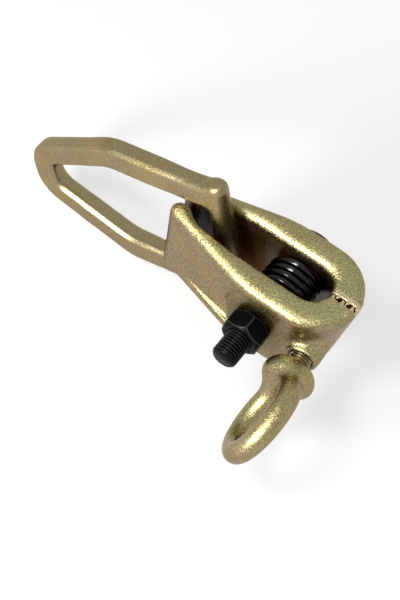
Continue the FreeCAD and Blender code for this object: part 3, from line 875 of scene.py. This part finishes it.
def eye_depth(x, y, z):
    """Distance outside the eye's skin, less than zero inside.

    The eye is a ring of round bar about X. Its collar is a round block about Y with
    rounded edges, whose shoulder is cut to a ball. The two flow together.
    """
    eye = settings().eye
    reach = np.hypot(y - eye_centre(), z) - eye.ring_radius / MM
    ring = np.hypot(reach, x) - eye.bar_radius / MM
    soft = eye.collar_round / MM
    half = eye.collar_length / MM / 2
    middle = EYE_BOSS_FACE_Y - eye.shank_showing / MM - half
    over = np.hypot(x, z) - eye.collar_radius / MM + soft
    beyond = np.abs(y - middle) - half + soft
    outside = np.hypot(np.maximum(over, 0.0), np.maximum(beyond, 0.0))
    collar = outside + np.minimum(np.maximum(over, beyond), 0.0) - soft
    from_ball = np.sqrt(x ** 2 + z ** 2 + (y - middle + COLLAR_BALL_DROP) ** 2)
    collar = -soft_least(-collar, COLLAR_BALL_RADIUS - from_ball, COLLAR_BALL_BLEND)
    return soft_least(ring, collar, eye.flow / MM)


def skin_of(name, value, low, material, move):
    """The skin on which a grid of values is zero, as a mesh of four-sided faces.

    Each grid cube that the skin crosses gets one point, the mean of the places where the
    skin crosses the cube's edges. Each grid edge that it crosses gets the face between
    the four cubes around that edge.
    """
    inside = value < 0.0
    cubes = np.array(value.shape) - 1
    total = np.zeros(tuple(cubes) + (3,))
    count = np.zeros(cubes)
    faces = []
    for axis in range(3):
        first, second = (axis + 1) % 3, (axis + 2) % 3
        here = np.take(value, np.arange(cubes[axis]), axis)
        ahead = np.take(value, np.arange(1, cubes[axis] + 1), axis)
        crossed = (here < 0.0) != (ahead < 0.0)
        edges = np.argwhere(crossed)
        places = edges.astype(float)
        places[:, axis] += here[crossed] / (here[crossed] - ahead[crossed])
        around = []
        for back_first, back_second in ((1, 1), (0, 1), (0, 0), (1, 0)):
            cube = edges.copy()
            cube[:, first] -= back_first
            cube[:, second] -= back_second
            around.append(np.ravel_multi_index(cube.T, cubes))
            np.add.at(total.reshape(-1, 3), around[-1], places)
            np.add.at(count.reshape(-1), around[-1], 1.0)
        quads = np.stack(around, -1)
        faces.append(np.where(inside[tuple(edges.T)][:, None], quads, quads[:, ::-1]))
    used = count.ravel() > 0
    number = np.cumsum(used) - 1
    points = low + GRID_STEP * total.reshape(-1, 3)[used] / count.ravel()[used][:, None]
    quads = number[np.concatenate(faces)]
    return mesh_object(name, (move(points) * MM).tolist(), quads.tolist(), material)


def lamp(name, place, power, size):
    """A square soft lamp that looks at the middle of the object."""
    data = bpy.data.lights.new(name, "AREA")
    data.energy = power
    data.size = size
    made = bpy.data.objects.new(name, data)
    made.location = Vector(place)
    aim = Vector(LAMP_AIM) - made.location
    made.rotation_euler = aim.to_track_quat("-Z", "Y").to_euler()
    bpy.context.scene.collection.objects.link(made)


def studio_world():
    """A plain white room, whose light with the lamps' shows a colour about as written."""
    world = bpy.data.worlds.new("plain_room")
    bpy.context.scene.world = world
    world.use_nodes = True
    tree = world.node_tree
    tree.nodes.clear()
    back = add(tree, "ShaderNodeBackground", (0, 0), Strength=settings().studio.room)
    back.inputs["Color"].default_value = (1.0, 1.0, 1.0, 1.0)
    output = add(tree, "ShaderNodeOutputWorld", (200, 0))
    tree.links.new(back.outputs[0], output.inputs[0])


def studio_floor():
    """A plain pale floor just under the clamp, which keeps the clamp's shadow."""
    low = CAD_BOX[0][2] - FLOOR_DROP
    corners = [(x * FLOOR_REACH, y * FLOOR_REACH, low)
               for x, y in ((-1, -1), (1, -1), (1, 1), (-1, 1))]
    material, tree, output = new_material("pale_floor_card")
    matt = add(tree, "ShaderNodeBsdfDiffuse", (0, 0))
    matt.inputs["Color"].default_value = settings().studio.floor
    white = add(tree, "ShaderNodeEmission", (0, -200), Strength=1.0)
    path = add(tree, "ShaderNodeLightPath", (-400, 300))
    seen = add(tree, "ShaderNodeMath", (-200, 300),
               {0: path.outputs["Is Camera Ray"], 1: path.outputs["Is Glossy Ray"]},
               operation="MAXIMUM")
    seen = add(tree, "ShaderNodeMath", (0, 300),
               {0: seen.outputs[0], 1: path.outputs["Is Transmission Ray"]}, operation="MAXIMUM")
    share = add(tree, "ShaderNodeMath", (200, 300), {0: seen.outputs[0]}, operation="MULTIPLY")
    share.inputs[1].default_value = FLOOR_GLOW
    mix = add(tree, "ShaderNodeMixShader", (400, 0),
              {0: share.outputs[0], 1: matt.outputs[0], 2: white.outputs[0]})
    tree.links.new(mix.outputs[0], output.inputs[0])
    floor = mesh_object("floor", corners, [(0, 1, 2, 3)], material)


def photograph_camera():
    """A camera where the photograph was taken from."""
    data = bpy.data.cameras.new("camera")
    data.lens = CAMERA_LENS
    data.clip_end = 20.0
    made = bpy.data.objects.new("camera", data)
    turn = Matrix((CAMERA_RIGHT, CAMERA_UP, CAMERA_BACK)).transposed().to_4x4()
    made.matrix_world = Matrix.Translation(Vector(CAMERA_AT) * MM) @ turn
    bpy.context.scene.collection.objects.link(made)
    bpy.context.scene.camera = made


class CLAMP_OT_studio(ClampPart, bpy.types.Operator):
    """Set up the floor, the lamps, the room and the camera"""
    bl_idname = "clamp.studio"
    bl_label = "Studio"

    def execute(self, context):
        studio = settings().studio
        bpy.context.scene.view_settings.view_transform = "Standard"
        photograph_camera()
        studio_world()
        studio_floor()
        lamp("key_lamp", KEY_LAMP_AT, studio.key_power, studio.lamp_size)
        lamp("high_lamp", HIGH_LAMP_AT, studio.high_power, studio.lamp_size)
        return {"FINISHED"}


class CLAMP_PT_panel(bpy.types.Panel):
    """The clamp's settings and steps"""
    bl_idname = "CLAMP_PT_panel"
    bl_label = "Pull clamp"
    bl_space_type = "VIEW_3D"
    bl_region_type = "UI"
    bl_category = "Clamp"

    def draw(self, context):
        clamp = context.scene.pull_clamp
        for operator in OPERATORS:
            self.layout.operator(operator.bl_idname)
        for group in (clamp.zinc, clamp.black, clamp.fasteners, clamp.eye, clamp.studio):
            box = self.layout.box()
            for name in group.__annotations__:
                box.prop(group, name)


GROUPS = (ZincFinish, BlackFinish, FastenerSizes, EyeSizes, StudioSettings, ClampSettings)
OPERATORS = (CLAMP_OT_forgings, CLAMP_OT_bolt, CLAMP_OT_nut, CLAMP_OT_spring,
             CLAMP_OT_eye_bolt, CLAMP_OT_studio)


def register():
    """Register the settings, the operators and the panel."""
    for item in GROUPS + OPERATORS + (CLAMP_PT_panel,):
        bpy.utils.register_class(item)
    bpy.types.Scene.pull_clamp = bpy.props.PointerProperty(type=ClampSettings)


def unregister():
    """Take everything off again."""
    del bpy.types.Scene.pull_clamp
    for item in reversed(GROUPS + OPERATORS + (CLAMP_PT_panel,)):
        bpy.utils.unregister_class(item)


def main():
    """Run every step in order."""
    register()
    bpy.ops.clamp.forgings()
    bpy.ops.clamp.bolt()
    bpy.ops.clamp.nut()
    bpy.ops.clamp.spring()
    bpy.ops.clamp.eye_bolt()
    bpy.ops.clamp.studio()
    bpy.context.view_layer.update()


if __name__ == "__main__":
    main()
